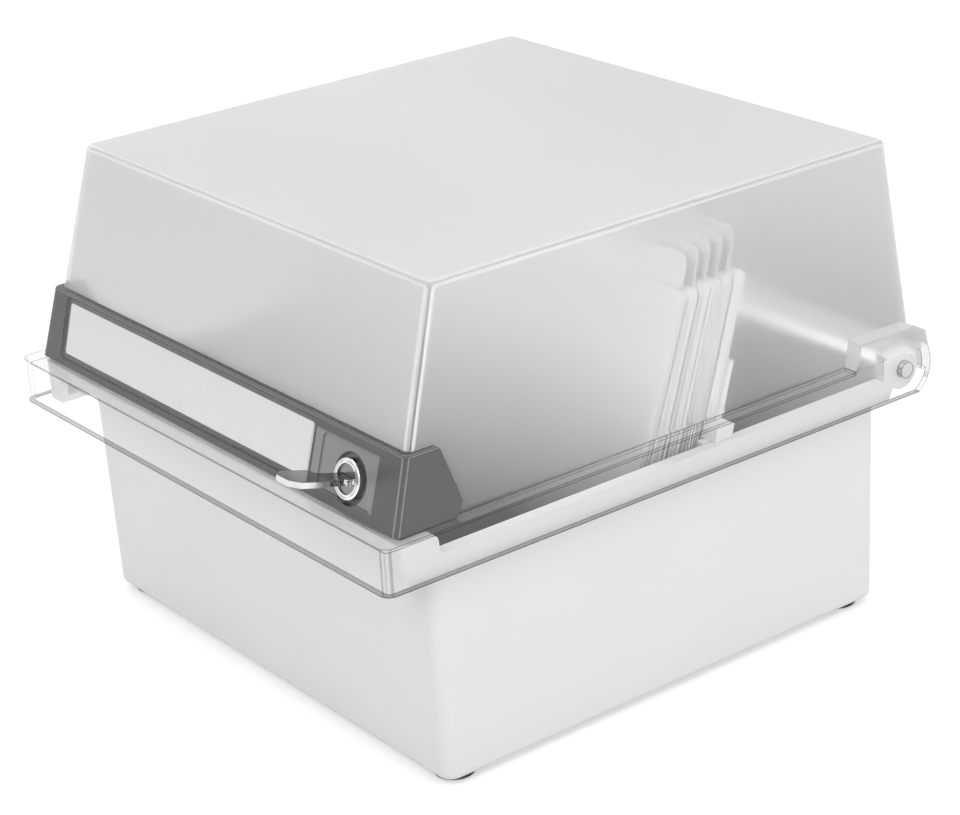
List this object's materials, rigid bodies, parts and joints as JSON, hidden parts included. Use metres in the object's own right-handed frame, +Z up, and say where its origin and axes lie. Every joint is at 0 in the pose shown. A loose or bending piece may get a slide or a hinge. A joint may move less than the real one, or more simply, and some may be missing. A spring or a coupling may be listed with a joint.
{
  "type": "index card box",
  "caption": "Free-standing card index box: white trough, hinged frosted lid with a clear skirt, dark label and lock strip with a key, card packs, tabbed dividers and a sliding support plate.",
  "frame": {"origin": "on the ground under the middle of the whole outline, key included", "axes": "+Z up, the front with the label and lock faces -Y, +X to the right seen from the front"},
  "size_m": [0.2338, 0.2634, 0.1819],
  "materials": {
    "white_plastic": "satin",
    "pale_plastic": "satin",
    "dark_rubber": "matte",
    "clear_lid": "frosted dome over a clear glossy skirt",
    "dark_plastic": "satin",
    "clear_cover": "clear gloss",
    "label_paper": "uncoated",
    "chrome": "polished",
    "key_steel": "nickel plated",
    "plated_steel": "zinc plated",
    "card_paper": "uncoated",
    "divider_card": "smooth board"
  },
  "bodies": {
    "base": {"trough": "white_plastic", "foot_front_left": "dark_rubber", "foot_front_right": "dark_rubber", "foot_back_left": "dark_rubber", "foot_back_right": "dark_rubber", "lock_catch": "plated_steel", "catch_screw_1": "plated_steel", "catch_screw_2": "plated_steel", "hinge_pin_left": "pale_plastic", "hinge_pin_right": "pale_plastic"},
    "lid": {"lid_shell": "clear_lid", "lock_strip": "dark_plastic", "label_card": "label_paper", "label_cover": "clear_cover", "strip_clip_1": "pale_plastic", "strip_clip_2": "pale_plastic", "strip_clip_3": "pale_plastic", "strip_clip_4": "pale_plastic", "lock_cup": "dark_plastic", "lock_body": "chrome", "lock_nut": "plated_steel"},
    "plug": {"lock_plug": "chrome", "lock_cam": "plated_steel", "cam_washer": "plated_steel", "cam_screw": "plated_steel"},
    "key": {"key": "key_steel"},
    "plate": {"support_plate": "white_plastic", "slider_left": "white_plastic", "slider_right": "white_plastic"},
    "card_pack_1": {"card_pack_1": "card_paper"},
    "divider_1": {"divider_1": "divider_card"},
    "card_pack_2": {"card_pack_2": "card_paper"},
    "divider_2": {"divider_2": "divider_card"},
    "card_pack_3": {"card_pack_3": "card_paper"},
    "divider_3": {"divider_3": "divider_card"},
    "card_pack_4": {"card_pack_4": "card_paper"},
    "divider_4": {"divider_4": "divider_card"},
    "card_pack_5": {"card_pack_5": "card_paper"},
    "divider_5": {"divider_5": "divider_card"},
    "card_pack_6": {"card_pack_6": "card_paper"}
  },
  "joints": [
    {"name": "lid_hinge", "type": "hinge", "parent": "base", "child": "lid", "pos_m": [0, 0.11942, 0.0957], "axis": [-1, 0, 0], "range_deg": [0, 100]},
    {"name": "lock_turn", "type": "hinge", "parent": "lid", "child": "plug", "pos_m": [0.0845, -0.10678, 0.1139], "axis": [0, 0.9636, -0.2672], "range_deg": [0, 90]},
    {"name": "key_pull", "type": "slide", "parent": "plug", "child": "key", "axis": [0, -0.9636, 0.2672], "range_m": [0, 0.028]},
    {"name": "plate_slide", "type": "slide", "parent": "base", "child": "plate", "axis": [0, 1, 0], "range_m": [0, 0.058]},
    {"name": "card_pack_1_tilt", "type": "hinge", "parent": "base", "child": "card_pack_1", "pos_m": [0, -0.02768, 0.008], "axis": [1, 0, 0], "range_deg": [0, 38]},
    {"name": "divider_1_tilt", "type": "hinge", "parent": "base", "child": "divider_1", "pos_m": [0, -0.02285, 0.008], "axis": [1, 0, 0], "range_deg": [0, 35.15]},
    {"name": "card_pack_2_tilt", "type": "hinge", "parent": "base", "child": "card_pack_2", "pos_m": [0, -0.0214, 0.008], "axis": [1, 0, 0], "range_deg": [0, 32.3]},
    {"name": "divider_2_tilt", "type": "hinge", "parent": "base", "child": "divider_2", "pos_m": [0, -0.01657, 0.008], "axis": [1, 0, 0], "range_deg": [0, 29.45]},
    {"name": "card_pack_3_tilt", "type": "hinge", "parent": "base", "child": "card_pack_3", "pos_m": [0, -0.01511, 0.008], "axis": [1, 0, 0], "range_deg": [0, 26.6]},
    {"name": "divider_3_tilt", "type": "hinge", "parent": "base", "child": "divider_3", "pos_m": [0, -0.0103, 0.008], "axis": [1, 0, 0], "range_deg": [0, 23.75]},
    {"name": "card_pack_4_tilt", "type": "hinge", "parent": "base", "child": "card_pack_4", "pos_m": [0, -0.00884, 0.008], "axis": [1, 0, 0], "range_deg": [0, 20.9]},
    {"name": "divider_4_tilt", "type": "hinge", "parent": "base", "child": "divider_4", "pos_m": [0, -0.00403, 0.008], "axis": [1, 0, 0], "range_deg": [0, 18.05]},
    {"name": "card_pack_5_tilt", "type": "hinge", "parent": "base", "child": "card_pack_5", "pos_m": [0, -0.00258, 0.008], "axis": [1, 0, 0], "range_deg": [0, 15.2]},
    {"name": "divider_5_tilt", "type": "hinge", "parent": "base", "child": "divider_5", "pos_m": [0, 0.00222, 0.008], "axis": [1, 0, 0], "range_deg": [0, 12.35]},
    {"name": "card_pack_6_tilt", "type": "hinge", "parent": "base", "child": "card_pack_6", "pos_m": [0, 0.00367, 0.008], "axis": [1, 0, 0], "range_deg": [0, 9.5]}
  ],
  "couplings": [
    {"joint": "divider_1_tilt", "follows": "card_pack_1_tilt", "ratio": 0.925},
    {"joint": "card_pack_2_tilt", "follows": "card_pack_1_tilt", "ratio": 0.85},
    {"joint": "divider_2_tilt", "follows": "card_pack_1_tilt", "ratio": 0.775},
    {"joint": "card_pack_3_tilt", "follows": "card_pack_1_tilt", "ratio": 0.7},
    {"joint": "divider_3_tilt", "follows": "card_pack_1_tilt", "ratio": 0.625},
    {"joint": "card_pack_4_tilt", "follows": "card_pack_1_tilt", "ratio": 0.55},
    {"joint": "divider_4_tilt", "follows": "card_pack_1_tilt", "ratio": 0.475},
    {"joint": "card_pack_5_tilt", "follows": "card_pack_1_tilt", "ratio": 0.4},
    {"joint": "divider_5_tilt", "follows": "card_pack_1_tilt", "ratio": 0.325},
    {"joint": "card_pack_6_tilt", "follows": "card_pack_1_tilt", "ratio": 0.25}
  ]
}
